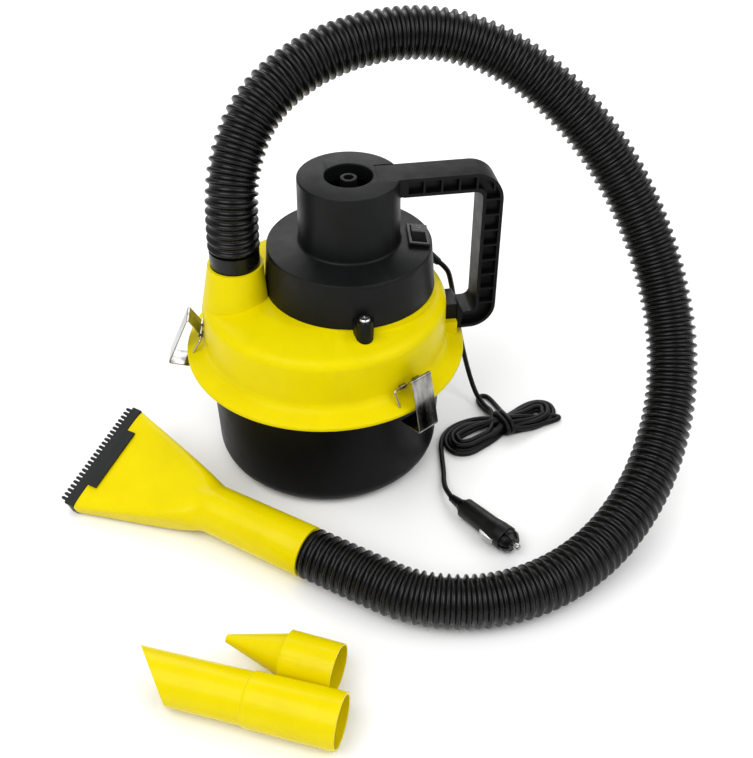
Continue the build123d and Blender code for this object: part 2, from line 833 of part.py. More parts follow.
os.makedirs("parts", exist_ok=True)
for node_name, node_shape in build().items():
    export_step(node_shape, "parts/" + node_name + ".step")
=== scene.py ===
import json
import math
import bpy
import bmesh
from mathutils import Matrix, Vector


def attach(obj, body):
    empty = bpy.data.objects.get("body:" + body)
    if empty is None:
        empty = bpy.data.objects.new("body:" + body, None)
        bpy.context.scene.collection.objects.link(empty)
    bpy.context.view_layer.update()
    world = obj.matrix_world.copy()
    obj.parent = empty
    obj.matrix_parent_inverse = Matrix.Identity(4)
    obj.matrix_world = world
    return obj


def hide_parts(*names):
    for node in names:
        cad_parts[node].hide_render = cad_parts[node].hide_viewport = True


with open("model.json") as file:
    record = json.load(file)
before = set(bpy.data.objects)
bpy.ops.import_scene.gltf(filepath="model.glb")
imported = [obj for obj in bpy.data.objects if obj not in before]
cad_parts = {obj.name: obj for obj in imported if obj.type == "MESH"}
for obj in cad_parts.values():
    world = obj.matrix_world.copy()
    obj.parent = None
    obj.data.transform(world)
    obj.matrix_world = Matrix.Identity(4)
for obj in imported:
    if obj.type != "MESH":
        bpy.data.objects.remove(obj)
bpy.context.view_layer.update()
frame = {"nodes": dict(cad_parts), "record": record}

MM = 0.001

# Driving sizes, in millimetres, as in the CAD model.
HOSE_R = 19.5
HOSE_VALLEY_R = 16.6
RIDGE_PITCH = 6.7
CORD_D = 4.2
NOZZLE_MOUTH = (-34.8, -152.3, 20.2)
NOZZLE_TURN = (140.4, -0.8, -19.6)
PLUG_BACK = (92.0, -115.4, 8.8)
PLUG_TURN = (-59.4, -2.0, 0.0)
SWITCH_CENTRE = (71.5, -5.0, 191.6)
SWITCH_TURN_DEG = -6.0
SWITCH_TILT_DEG = 8.0
ROCKER_REST_DEG = 9.0
CLIP_DEG = {"left": (174.0, 10.5), "front": (-58.0, 0.0), "rear": (65.0, 10.5)}
CLIP_WIRE = (97.7, 114.0)
CLIP_WIDTH = 19.0
CLIP_THICKNESS = 0.9
NOZZLE_NECK = 86.0
NOZZLE_FRONT = 188.5
NOZZLE_WIDTH = 95.0
NOZZLE_SLEEVE_R = 18.85
NOZZLE_BORE_R = 15.4
CUFF_SEAT_R = 16.96

# The camera, in metres and degrees: heading, tilt from straight down, and roll.
CAMERA_PLACE = (-0.0814, -0.6971, 0.6232)
CAMERA_TURN_DEG = (-10.0, 51.15, 0.38)
CAMERA_LENS_MM = 51.74

scene = bpy.context.scene
scene.view_settings.view_transform = "Standard"
scene.view_settings.look = "None"


# ---- camera, lights and floor ----
def make_camera():
    data = bpy.data.cameras.new("camera")
    data.lens = CAMERA_LENS_MM
    data.sensor_width = 36.0
    camera = bpy.data.objects.new("camera", data)
    scene.collection.objects.link(camera)
    camera.location = CAMERA_PLACE
    heading_deg, tilt_deg, roll_deg = CAMERA_TURN_DEG
    turn = Matrix.Rotation(math.radians(heading_deg), 4, "Z")
    pitch = Matrix.Rotation(math.radians(tilt_deg), 4, "X")
    roll = Matrix.Rotation(math.radians(roll_deg), 4, "Z")
    camera.rotation_euler = (turn @ pitch @ roll).to_euler()
    scene.camera = camera


def area_light(name, place, aim, size, power):
    """A rectangular soft light of that size in metres and power in watts."""
    data = bpy.data.lights.new(name, "AREA")
    data.shape = "RECTANGLE"
    data.size = size[0]
    data.size_y = size[1]
    data.energy = power
    light = bpy.data.objects.new(name, data)
    scene.collection.objects.link(light)
    light.location = place
    light.rotation_euler = (Vector(aim) - Vector(place)).to_track_quat("-Z", "Y").to_euler()


make_camera()


# ---- curves and cords ----
def spline_object(name, points_mm, resolution):
    """One open NURBS spline, with the route's points as its control points."""
    curve = bpy.data.curves.new(name, "CURVE")
    curve.dimensions = "3D"
    curve.resolution_u = resolution
    spline = curve.splines.new("NURBS")
    spline.points.add(len(points_mm) - 1)
    for point, place in zip(spline.points, points_mm):
        point.co = (place[0] * MM, place[1] * MM, place[2] * MM, 1.0)
    spline.order_u = 3
    spline.use_endpoint_u = True
    line = bpy.data.objects.new(name, curve)
    scene.collection.objects.link(line)
    return line


def spline_points(line):
    """Points along the spline, in order."""
    mesh = bpy.data.meshes.new_from_object(line)
    places = [v.co.copy() for v in mesh.vertices]
    bpy.data.meshes.remove(mesh)
    return places


def line_length(places):
    return sum((b - a).length for a, b in zip(places, places[1:]))


HOSE_ROUTE = [
    (-66.5, 0.0, 192.0),
    (-66.5, 0.0, 222.0),
    (-61.0, 16.0, 254.0),
    (-40.0, 40.0, 287.0),
    (2.0, 62.0, 309.0),
    (57.0, 77.0, 318.0),
    (112.0, 79.0, 314.0),
    (163.0, 63.0, 294.0),
    (207.0, 37.0, 258.0),
    (241.0, 8.0, 210.0),
    (263.0, -25.0, 155.0),
    (268.0, -65.0, 104.0),
    (253.0, -108.0, 62.0),
    (216.0, -157.0, 33.0),
    (161.0, -199.0, 20.0),
    (97.0, -221.0, 19.6),
    (37.0, -211.0, 19.6),
    (-3.2, -178.4, 19.65),
    NOZZLE_MOUTH,
]

LEAD_ROUTE = [
    (94.1, 18.4, 151.8),
    (102.4, 20.4, 143.4),
    (106.5, 23.0, 129.0),
    (111.0, 27.0, 108.0),
    (116.0, 31.0, 84.0),
    (121.5, 33.0, 58.0),
    (127.0, 31.0, 34.0),
    (131.5, 24.0, 17.0),
    (134.5, 14.5, 9.5),
    (138.5, 4.0, 7.0),
    (143.5, -5.0, 7.4),
]

# The hank: its middle, the directions along and across it, and for each loop its inset,
# its lift off the floor, and its distance from the middle and height at the waist.
HANK_MIDDLE = Vector((148.0, -21.0, 0.0))
HANK_ALONG = Vector((0.94, 0.342, 0.0))
HANK_ACROSS = Vector((-0.342, 0.94, 0.0))
HANK_LOOPS = (
    (0.0, 0.0, 8.4, 2.3),
    (4.3, 0.0, 4.2, 2.3),
    (8.6, 0.2, 2.1, 6.0),
    (12.8, 0.6, 1.0, 9.6),
    (6.2, 3.6, 6.3, 6.0),
    (11.4, 4.0, 4.4, 9.6),
)

TAIL_ROUTE = [
    (141.0, -9.0, 3.0), (131.0, -6.5, 2.3), (117.0, -8.5, 2.3), (104.5, -14.0, 2.3),
    (95.5, -23.0, 2.3), (91.0, -34.0, 2.3), (88.5, -50.0, 2.3), (86.5, -66.0, 2.3),
    (83.6, -79.0, 3.4), (82.6, -91.4, 6.0), (84.6, -102.4, 8.2),
]


def hank_points():
    """Loops of cord through two lobes, tied at the waist, from the inside out."""
    points = []
    for inset, lift, waist, waist_z in HANK_LOOPS:
        low = 2.25 + lift
        dip = 0.55 * inset
        for u, v, z in (
            (0.0, -waist, waist_z),
            (12.0, -waist - 2.5 + 0.2 * inset, (waist_z + low) / 2),
            (26.0, -14.5 + dip, low),
            (40.0, -12.5 + dip, low),
            (50.0 - inset, -7.5 + 0.5 * dip, low),
            (54.0 - inset, 0.5, low),
            (53.0 - inset, 8.0 - 0.4 * inset, low),
            (45.5 - 0.8 * inset, 14.0 - 0.75 * inset, low),
            (32.0, 14.5 - 0.9 * inset, low),
            (16.0, 10.5 - 0.7 * inset, (waist_z + low) / 2),
            (0.0, waist, waist_z),
            (-13.0, 13.0 - 0.55 * inset, (waist_z + low) / 2),
            (-28.0, 20.5 - 0.95 * inset, low),
            (-42.0, 17.5 - 0.9 * inset, low),
            (-52.0 + 0.8 * inset, 10.0 - 0.5 * inset, low),
            (-55.5 + inset, 0.0, low),
            (-53.0 + inset, -9.0 + 0.5 * inset, low),
            (-43.0 + 0.8 * inset, -14.5 + 0.9 * inset, low),
            (-28.0, -12.5 + 0.8 * inset, low),
            (-13.0, -9.5 + 0.5 * inset, (waist_z + low) / 2),
        ):
            place = HANK_MIDDLE + HANK_ALONG * u + HANK_ACROSS * v
            points.append((place.x, place.y, z))
    return points[::-1]


# One fold of cord that sticks out at the right, then the small loop under the lead.
FOLD_ROUTE = [
    (150.0, -28.0, 9.5), (163.0, -30.0, 6.2), (178.0, -25.0, 3.4), (192.0, -20.5, 2.4),
    (199.5, -18.2, 2.4), (200.5, -15.2, 2.4), (195.0, -14.0, 2.6), (180.0, -16.0, 5.4),
    (166.0, -17.0, 9.0), (150.0, -17.5, 10.4), (142.5, -8.0, 6.0), (139.5, 3.0, 2.4),
    (135.8, 14.0, 2.3), (136.8, 20.5, 2.3), (141.0, 23.5, 2.3), (145.6, 21.5, 2.3),
    (148.5, 14.0, 2.3), (151.0, 5.0, 2.3), (152.5, -3.0, 4.0),
]


def wrap_points():
    """The cord's turns round the hank's waist, seen along the hank as a flattened ring."""
    turns = 2
    per_turn = 10
    centre = HANK_MIDDLE + Vector((0.0, 0.0, 7.6))
    half_width = 12.2
    half_height = 5.4
    pitch = 4.4
    first = math.radians(40.0)
    sweep = 2 * math.pi * turns - math.radians(60.0)
    count = turns * per_turn
    points = []
    for i in range(count + 1):
        angle = first + sweep * i / count
        shift = pitch * turns * (0.5 - i / count)
        side = math.copysign(abs(math.cos(angle)) ** 0.8, math.cos(angle)) * half_width
        rise = math.copysign(abs(math.sin(angle)) ** 0.8, math.sin(angle)) * half_height
        place = centre + HANK_ALONG * shift + HANK_ACROSS * side + Vector((0, 0, rise))
        points.append(tuple(place))
    return points


# ---- mesh helpers ----
def angles(count):
    """Evenly spaced angles, once round."""
    return [2 * math.pi * k / count for k in range(count)]


def add_part(bm, part):
    """Adds one mesh to another, and frees the first."""
    mesh = bpy.data.meshes.new("part")
    part.to_mesh(mesh)
    part.free()
    bm.from_mesh(mesh)
    bpy.data.meshes.remove(mesh)


def rings_mesh(rings, closed_ends=False, loop=False):
    """A skin over rings of points with equal counts."""
    bm = bmesh.new()
    made = [[bm.verts.new(p) for p in ring] for ring in rings]
    pairs = list(zip(made, made[1:]))
    if loop:
        pairs.append((made[-1], made[0]))
    for low, high in pairs:
        count = len(low)
        for i in range(count):
            j = (i + 1) % count
            bm.faces.new((low[i], low[j], high[j], high[i]))
    if closed_ends:
        bm.faces.new(made[0][::-1])
        bm.faces.new(made[-1])
    return bm


def finish_mesh(name, bm, material, sharp_deg=35.0):
    """A smooth-shaded object from bm, sharp at edges that turn more than sharp_deg."""
    bmesh.ops.recalc_face_normals(bm, faces=bm.faces)
    mesh = bpy.data.meshes.new(name)
    bm.to_mesh(mesh)
    bm.free()
    mesh.materials.append(material)
    for polygon in mesh.polygons:
        polygon.use_smooth = True
    mesh.set_sharp_from_angle(angle=math.radians(sharp_deg))
    piece = bpy.data.objects.new(name, mesh)
    scene.collection.objects.link(piece)
    return piece


def rounded(points, steps=5):
    """The line's points, each corner that has a third number rounded to that radius."""
    result = []
    count = len(points)
    for i, point in enumerate(points):
        radius = point[2] if len(point) > 2 else 0.0
        here = Vector(point[:2])
        if not radius:
            result.append(tuple(here))
            continue
        before = Vector(points[i - 1][:2]) - here
        after = Vector(points[(i + 1) % count][:2]) - here
        half = before.angle(after) / 2
        reach = min(radius / math.tan(half), before.length * 0.49, after.length * 0.49)
        start = here + before.normalized() * reach
        end = here + after.normalized() * reach
        for k in range(steps + 1):
            t = k / steps
            place = start * (1 - t) ** 2 + here * 2 * t * (1 - t) + end * t * t
            result.append(tuple(place))
    return result


def lathe(name, profile, material, place, segments=96):
    """Skin turned about local X from (x, r) points in millimetres, then placed."""
    least_r = 0.01
    rings = []
    for x, r in profile:
        radius = max(r, least_r)
        ring = [Vector((x, radius * math.cos(a), radius * math.sin(a))) * MM for a in angles(segments)]
        rings.append(ring)
    bm = rings_mesh(rings, loop=True)
    bm.transform(place)
    return finish_mesh(name, bm, material)


def pose_matrix(origin_mm, turn):
    """Matrix of a piece built along +X, from its origin and its heading, pitch and roll in degrees."""
    heading, pitch, roll = [math.radians(v) for v in turn]
    spin = Matrix.Rotation(heading, 4, "Z") @ Matrix.Rotation(pitch, 4, "Y")
    spin = spin @ Matrix.Rotation(roll, 4, "X")
    return Matrix.Translation(Vector(origin_mm) * MM) @ spin


def bevel(piece, width_mm, segments=3, angle_deg=30.0):
    modifier = piece.modifiers.new("edge", "BEVEL")
    modifier.width = width_mm * MM
    modifier.segments = segments
    modifier.limit_method = "ANGLE"
    modifier.angle_limit = math.radians(angle_deg)
    modifier.use_clamp_overlap = True
    modifier.harden_normals = True


def softened(node, body, material, width_mm):
    """A copy of a CAD node with its sharp edges rounded, which stands for the node."""
    weld = 2e-6
    source = frame["nodes"][node]
    bm = bmesh.new()
    bm.from_mesh(source.data)
    bmesh.ops.remove_doubles(bm, verts=bm.verts, dist=weld)
    bmesh.ops.dissolve_limit(bm, angle_limit=math.radians(0.4), verts=bm.verts, edges=bm.edges)
    piece = finish_mesh(node + "_moulded", bm, material)
    bevel(piece, width_mm)
    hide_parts(node)
    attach(piece, body)


def box_mesh(bm, low, high, place=None):
    """Adds a box between two corners in millimetres to bm, then places it."""
    made = bmesh.ops.create_cube(bm, size=1.0)["verts"]
    for v in made:
        v.co = Vector([(a + b) / 2 + c * (b - a) for a, b, c in zip(low, high, v.co)]) * MM
        if place is not None:
            v.co = place @ v.co


# ---- materials ----
# The part of a noise's range that its colours and roughness are spread over.
NOISE_LOW = 0.3
NOISE_HIGH = 0.7


def graph(name):
    material = bpy.data.materials.new(name)
    material.use_nodes = True
    tree = material.node_tree
    return material, tree, tree.nodes["Principled BSDF"]


def noise_of(tree, scale, detail=3.0, roughness=0.55, stretch=None):
    """Noise in object space, drawn out by stretch."""
    coords = tree.nodes.new("ShaderNodeTexCoord")
    source = coords.outputs["Object"]
    if stretch:
        mapping = tree.nodes.new("ShaderNodeMapping")
        mapping.inputs["Scale"].default_value = stretch
        tree.links.new(source, mapping.inputs["Vector"])
        source = mapping.outputs["Vector"]
    noise = tree.nodes.new("ShaderNodeTexNoise")
    noise.inputs["Scale"].default_value = scale
    noise.inputs["Detail"].default_value = detail
    noise.inputs["Roughness"].default_value = roughness
    tree.links.new(source, noise.inputs["Vector"])
    return noise.outputs["Fac"]


def ranged(tree, value, low, high):
    """The noise spread between two numbers."""
    node = tree.nodes.new("ShaderNodeMapRange")
    node.inputs["From Min"].default_value = NOISE_LOW
    node.inputs["From Max"].default_value = NOISE_HIGH
    node.inputs["To Min"].default_value = low
    node.inputs["To Max"].default_value = high
    tree.links.new(value, node.inputs["Value"])
    return node.outputs["Result"]


def mixed(tree, value, dark, light):
    """The noise spread between two colours."""
    ramp = tree.nodes.new("ShaderNodeValToRGB")
    ramp.color_ramp.elements[0].position = NOISE_LOW
    ramp.color_ramp.elements[1].position = NOISE_HIGH
    ramp.color_ramp.elements[0].color = (*dark, 1.0)
    ramp.color_ramp.elements[1].color = (*light, 1.0)
    tree.links.new(value, ramp.inputs["Fac"])
    return ramp.outputs["Color"]


def bumped(tree, shader, height, strength, distance_mm, under=None):
    """Bump on the shader's normal, over an earlier bump if one is given."""
    bump = tree.nodes.new("ShaderNodeBump")
    bump.inputs["Strength"].default_value = strength
    bump.inputs["Distance"].default_value = distance_mm * MM
    tree.links.new(height, bump.inputs["Height"])
    if under is not None:
        tree.links.new(under, bump.inputs["Normal"])
    tree.links.new(bump.outputs["Normal"], shader.inputs["Normal"])
    return bump.outputs["Normal"]


def plastic(name, dark, light, rough=(0.3, 0.42), grain=(900.0, 0.15, 0.05), wave=0.0,
            specular=0.5):
    """Moulded plastic: faint colour drift, uneven gloss, fine grain and a slow wave."""
    patch = 40.0
    material, tree, shader = graph(name)
    tree.links.new(mixed(tree, noise_of(tree, patch), dark, light), shader.inputs["Base Color"])
    tree.links.new(ranged(tree, noise_of(tree, patch * 2.3, 5.0), *rough), shader.inputs["Roughness"])
    scale, strength, distance = grain
    fine = bumped(tree, shader, noise_of(tree, scale, 4.0), strength, distance)
    if wave:
        bumped(tree, shader, noise_of(tree, 28.0, 1.0), wave, 1.0, under=fine)
    shader.inputs["Specular IOR Level"].default_value = specular
    return material


def metal(name, dark, light, rough=(0.12, 0.25), patch=60.0, stretch=None, grain=0.1):
    """Plated or brushed metal with streaks and a fine grain; where the dark colour is very dark, the
    streaks also stand for a painted dark reflection.
    """
    material, tree, shader = graph(name)
    shader.inputs["Metallic"].default_value = 1.0
    streak_and_reflection = noise_of(tree, patch, 6.0, 0.6, stretch)
    tree.links.new(mixed(tree, streak_and_reflection, dark, light), shader.inputs["Base Color"])
    tree.links.new(ranged(tree, streak_and_reflection, *rough), shader.inputs["Roughness"])
    bumped(tree, shader, noise_of(tree, 700.0, 3.0, 0.5, stretch), grain, 0.03)
    return material


def cloth(name, dark, light):
    """Filter cloth: woven threads and soft folds."""
    threads = 140.0
    material, tree, shader = graph(name)
    coords = tree.nodes.new("ShaderNodeTexCoord")
    weave = []
    for axis in ("X", "Z"):
        wave = tree.nodes.new("ShaderNodeTexWave")
        wave.bands_direction = axis
        wave.inputs["Scale"].default_value = threads
        wave.inputs["Distortion"].default_value = 1.2
        tree.links.new(coords.outputs["Object"], wave.inputs["Vector"])
        weave.append(wave.outputs["Fac"])
    join = tree.nodes.new("ShaderNodeMath")
    join.operation = "MULTIPLY"
    tree.links.new(weave[0], join.inputs[0])
    tree.links.new(weave[1], join.inputs[1])
    tree.links.new(mixed(tree, noise_of(tree, 50.0), dark, light), shader.inputs["Base Color"])
    fine = bumped(tree, shader, join.outputs["Value"], 0.4, 0.2)
    bumped(tree, shader, noise_of(tree, 60.0, 2.0), 0.5, 2.0, under=fine)
    shader.inputs["Roughness"].default_value = 0.9
    shader.inputs["Sheen Weight"].default_value = 0.3
    return material


YELLOW_DARK = (0.68, 0.56, 0.0)
YELLOW_LIGHT = (0.72, 0.60, 0.0)

finishes = {
    "tank_black": plastic("tank_black", (0.0020, 0.0021, 0.0023), (0.0034, 0.0036, 0.0039),
                          rough=(0.34, 0.44), grain=(1300.0, 0.2, 0.05), specular=0.07),
    "lid_yellow": plastic("lid_yellow", YELLOW_DARK, YELLOW_LIGHT, rough=(0.26, 0.36),
                          grain=(1100.0, 0.12, 0.04), wave=0.05, specular=0.06),
    "cover_black": plastic("cover_black", (0.0030, 0.0033, 0.0035), (0.0050, 0.0054, 0.0057),
                           rough=(0.38, 0.48), grain=(1500.0, 0.3, 0.05), specular=0.15),
    "handle_black": plastic("handle_black", (0.0014, 0.0014, 0.0015), (0.0026, 0.0027, 0.0028),
                            rough=(0.38, 0.5), grain=(1500.0, 0.3, 0.05), specular=0.16),
    "nozzle_yellow": plastic("nozzle_yellow", (0.69, 0.56, 0.0), (0.73, 0.60, 0.0),
                             rough=(0.18, 0.28), grain=(1000.0, 0.08, 0.04), wave=0.06, specular=0.10),
    "hose_black": plastic("hose_black", (0.0016, 0.0016, 0.0018), (0.0030, 0.0030, 0.0032),
                          rough=(0.22, 0.34), grain=(900.0, 0.15, 0.05), specular=0.26),
    "comb_black": plastic("comb_black", (0.006, 0.0065, 0.007), (0.010, 0.0105, 0.011),
                          rough=(0.5, 0.62), grain=(1400.0, 0.4, 0.08), specular=0.3),
    # The chrome's streaks run from near black to mid grey. The near-black end is a painted dark reflection
    # on the plate, laid over real plating streaks.
    "chromed_sheet": metal("chromed_sheet", (0.07, 0.07, 0.07), (0.46, 0.45, 0.42),
                           rough=(0.05, 0.16), patch=140.0, stretch=(1.0, 1.0, 0.15)),
    "spring_wire": metal("spring_wire", (0.42, 0.38, 0.30), (0.5, 0.46, 0.38), rough=(0.16, 0.24),
                         grain=0.0),
    "screw_steel": metal("screw_steel", (0.6, 0.6, 0.6), (0.9, 0.9, 0.9), rough=(0.12, 0.25)),
    "switch_black": plastic("switch_black", (0.0022, 0.0023, 0.0025), (0.0038, 0.004, 0.0042),
                            rough=(0.28, 0.4), grain=(1500.0, 0.2, 0.04), specular=0.22),
    "cord_black": plastic("cord_black", (0.0012, 0.0012, 0.0013), (0.0022, 0.0022, 0.0023),
                          rough=(0.34, 0.46), grain=(1200.0, 0.3, 0.05), specular=0.2),
    "plug_black": plastic("plug_black", (0.0018, 0.0018, 0.0019), (0.0032, 0.0032, 0.0034),
                          rough=(0.26, 0.4), grain=(1300.0, 0.2, 0.05), specular=0.25),
    "contact_metal": metal("contact_metal", (0.30, 0.30, 0.29), (0.62, 0.61, 0.59), rough=(0.1, 0.2)),
    "mark_grey": plastic("mark_grey", (0.16, 0.16, 0.16), (0.22, 0.22, 0.22), rough=(0.4, 0.5)),
    "gasket_rubber": plastic("gasket_rubber", (0.02, 0.02, 0.02), (0.035, 0.035, 0.035), rough=(0.6, 0.75)),
    "filter_cloth": cloth("filter_cloth", (0.52, 0.51, 0.48), (0.68, 0.67, 0.63)),
    "filter_elastic": plastic("filter_elastic", (0.07, 0.07, 0.07), (0.12, 0.12, 0.12), rough=(0.6, 0.8),
                              grain=(700.0, 0.6, 0.2)),
    "cage_plastic": plastic("cage_plastic", (0.03, 0.03, 0.03), (0.05, 0.05, 0.05), rough=(0.45, 0.6)),
    "float_plastic": plastic("float_plastic", (0.62, 0.62, 0.60), (0.72, 0.72, 0.70), rough=(0.3, 0.4)),
    "motor_steel": metal("motor_steel", (0.38, 0.38, 0.38), (0.55, 0.55, 0.55), rough=(0.25, 0.4)),
    "core_steel": metal("core_steel", (0.2, 0.16, 0.13), (0.34, 0.28, 0.24), rough=(0.4, 0.55),
                        stretch=(1.0, 1.0, 12.0)),
    "magnet_ferrite": plastic("magnet_ferrite", (0.05, 0.05, 0.05), (0.08, 0.08, 0.08), rough=(0.5, 0.7)),
    "bush_bronze": metal("bush_bronze", (0.45, 0.30, 0.14), (0.65, 0.46, 0.24), rough=(0.35, 0.5)),
    "commutator_copper": metal("commutator_copper", (0.6, 0.3, 0.18), (0.8, 0.46, 0.3)),
    "brush_carbon": plastic("brush_carbon", (0.02, 0.02, 0.02), (0.04, 0.04, 0.04), rough=(0.5, 0.7)),
    "fan_plastic": plastic("fan_plastic", (0.05, 0.05, 0.05), (0.09, 0.09, 0.09), rough=(0.5, 0.65)),
    "terminal_brass": metal("terminal_brass", (0.5, 0.38, 0.16), (0.75, 0.6, 0.3)),
    "fuse_glass": plastic("fuse_glass", (0.6, 0.64, 0.62), (0.75, 0.78, 0.76), rough=(0.08, 0.14)),
}

for row in frame["record"]["subparts"]:
    node = frame["nodes"][row["node"]]
    node.data.materials.clear()
    node.data.materials.append(finishes[row["material_slot"]])
    node.data.set_sharp_from_angle(angle=math.radians(28.0))


# ---- power cord ----
def make_cord():
    route = LEAD_ROUTE + hank_points() + FOLD_ROUTE + wrap_points() + TAIL_ROUTE
    cord = spline_object("power_cord", route, 12)
    cord.data.bevel_depth = CORD_D / 2 * MM
    cord.data.bevel_resolution = 6
    cord.data.materials.append(finishes["cord_black"])
    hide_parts("cord_lead", "cord_hank", "cord_tail")
    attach(cord, "head")
    return cord


# ---- hose ----
def make_hose():
    line = spline_object("hose_line", HOSE_ROUTE, 40)
    places = spline_points(line)
    bpy.data.objects.remove(line)
    length = line_length(places)
    count = round(length / (RIDGE_PITCH * MM))
    step = length / count
    # One ridge: shares of its pitch, and of its rise out of the valley.
    ridge = [(0.0, 0.0), (0.16, 0.06), (0.25, 0.36), (0.32, 0.76), (0.40, 0.96), (0.5, 1.0),
             (0.60, 0.96), (0.68, 0.76), (0.75, 0.36), (0.84, 0.06)]
    stations = []
    for i in range(count):
        for share, rise in ridge:
            stations.append(((i + share) * step, HOSE_VALLEY_R + (HOSE_R - HOSE_VALLEY_R) * rise))
    stations.append((length, HOSE_VALLEY_R))
    sides = 56
    rings = []
    travelled = 0.0
    index = 0
    up = Vector((0.0, 1.0, 0.0))
    for distance, radius in stations:
        while index < len(places) - 2 and travelled + (places[index + 1] - places[index]).length < distance:
            travelled += (places[index + 1] - places[index]).length
            index += 1
        span = places[index + 1] - places[index]
        centre = places[index] + span.normalized() * min(distance - travelled, span.length)
        before = places[max(index - 1, 0)]
        after = places[min(index + 2, len(places) - 1)]
        ahead = (after - before).normalized()
        up = (up - ahead * up.dot(ahead)).normalized()
        side = ahead.cross(up)
        ring = [centre + (up * math.cos(a) + side * math.sin(a)) * radius * MM for a in angles(sides)]
        rings.append(ring)
    bm = rings_mesh(rings, closed_ends=True)
    hose = finish_mesh("corrugated_hose", bm, finishes["hose_black"], 60.0)
    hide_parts("hose_tube")
    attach(hose, "hose")
    return hose, places, length


power_cord = make_cord()
hose, hose_line, hose_length = make_hose()


# ---- rounded copies of the moulded parts ----
softened("lid", "head", finishes["lid_yellow"], 0.5)
softened("housing_ring", "head", finishes["cover_black"], 0.5)
softened("top_cover", "head", finishes["cover_black"], 0.4)
softened("handle", "head", finishes["handle_black"], 0.9)
softened("switch_bezel", "head", finishes["switch_black"], 0.3)
softened("switch_rocker", "rocker", finishes["switch_black"], 0.4)
softened("crevice_nozzle", "spare_crevice_nozzle", finishes["nozzle_yellow"], 0.4)
softened("cone_nozzle", "spare_cone_nozzle", finishes["nozzle_yellow"], 0.4)


# ---- upholstery nozzle ----
def nozzle_ring(x, width, height, power, ridge=None):
    """One section across the nozzle: a superellipse with the sleeve's round ridge over it."""
    count = 120
    ring = []
    for k in range(count):
        a = 2 * math.pi * (k + 0.5) / count
        c = math.cos(a)
        s = math.sin(a)
        y = math.copysign(abs(c) ** (2 / power), c) * width / 2
        z = math.copysign(abs(s) ** (2 / power), s) * height / 2
        if ridge and abs(y) < ridge[0]:
            z = math.copysign(max(abs(z), ridge[1] * math.sqrt(1 - (y / ridge[0]) ** 2)), z)
        ring.append(Vector((x, y, z)) * MM)
    return ring


def make_nozzle():
    """The moulded nozzle: a sleeve that fans out flat to a wide slot, hollow from end to end."""
    rings = []
    outside = ((0.6, 18.2), (0.6, 19.1), (1.1, 19.5), (30.0, 19.3), (60.0, 19.05),
               (82.0, NOZZLE_SLEEVE_R))
    for x, r in outside:
        rings.append(nozzle_ring(x, 2 * r, 2 * r, 2.0))
    steps = 28
    neck_width = 2 * NOZZLE_SLEEVE_R
    for i in range(steps + 1):
        t = i / steps
        x = NOZZLE_NECK + (NOZZLE_FRONT - NOZZLE_NECK) * t
        width = neck_width + (NOZZLE_WIDTH - neck_width) * t
        height = 13.0 + 22.0 * (1.0 - t) ** 1.25
        power = 2.0 + 5.5 * min(1.0, max(0.0, t - 0.04) / 0.40)
        fade = math.sqrt(max(0.0, 1.0 - t / 0.26))
        ridge = None
        if fade > 0.08:
            ridge = (NOZZLE_SLEEVE_R * fade, max(height / 2 + 0.3, NOZZLE_SLEEVE_R - 16.0 * t))
        rings.append(nozzle_ring(x, width, height, power, ridge))
    rings.append(nozzle_ring(NOZZLE_FRONT, NOZZLE_WIDTH - 1.2, 11.8, 8.0))
    rings.append(nozzle_ring(NOZZLE_FRONT, NOZZLE_WIDTH - 4.6, 9.6, 8.0))
    rings.append(nozzle_ring(NOZZLE_NECK + 6.0, 34.0, 33.0, 2.4))
    inside = ((NOZZLE_NECK, NOZZLE_BORE_R), (32.0, NOZZLE_BORE_R), (32.0, CUFF_SEAT_R), (0.6, CUFF_SEAT_R))
    for x, r in inside:
        rings.append(nozzle_ring(x, 2 * r, 2 * r, 2.0))
    bm = rings_mesh(rings, loop=True)
    bm.transform(nozzle_place)
    nozzle = finish_mesh("nozzle_moulded", bm, finishes["nozzle_yellow"], 40.0)
    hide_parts("floor_nozzle")
    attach(nozzle, "upholstery_nozzle")


def make_comb_bar():
    """The comb strip's frame, set against the nozzle's front."""
    half = NOZZLE_WIDTH / 2
    back = NOZZLE_FRONT + 0.05
    lip = NOZZLE_FRONT + 8.6
    front = NOZZLE_FRONT + 6.2
    bm = bmesh.new()
    for low, high in (
        ((back, -half, 4.1), (lip, half, 7.2)),
        ((back, -half, -6.6), (front, half, -3.9)),
        ((back, -half, -6.6), (front, -half + 6, 7.0)),
        ((back, half - 6, -6.6), (front, half, 7.0)),
    ):
        box_mesh(bm, low, high, nozzle_place)
    comb = finish_mesh("comb_bar", bm, finishes["comb_black"])
    bevel(comb, 0.8)
    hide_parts("comb_strip")
    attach(comb, "upholstery_nozzle")


def make_comb_teeth():
    """Two rows of short round-ended teeth; the lower row is set a little further back."""
    count = 24
    sides = 14
    margin = 1.5
    pitch = (NOZZLE_WIDTH - 2 * margin) / count
    # Along one tooth: distance past the nozzle's front, radius and height of its middle.
    tooth = ((7.0, 1.4, 5.4), (9.0, 1.4, 5.5), (11.6, 1.35, 5.7), (12.8, 1.2, 5.8),
             (13.5, 0.85, 5.8), (13.8, 0.35, 5.8))
    bm = bmesh.new()
    for drop, setback in ((0.0, 0.0), (-9.2, 1.6)):
        for i in range(count):
            y = -NOZZLE_WIDTH / 2 + margin + pitch * (i + 0.5)
            rings = []
            for x, r, z in tooth:
                along = NOZZLE_FRONT + x - setback
                rings.append([Vector((along, y + r * math.cos(a), z + drop + r * math.sin(a))) * MM
                              for a in angles(sides)])
            part = rings_mesh(rings, closed_ends=True)
            part.transform(nozzle_place)
            add_part(bm, part)
    teeth = finish_mesh("comb_teeth", bm, finishes["comb_black"])
    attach(teeth, "upholstery_nozzle")


nozzle_place = pose_matrix(NOZZLE_MOUTH, NOZZLE_TURN)
make_nozzle()
make_comb_bar()
make_comb_teeth()
softened("comb_clip", "upholstery_nozzle", finishes["comb_black"], 0.4)


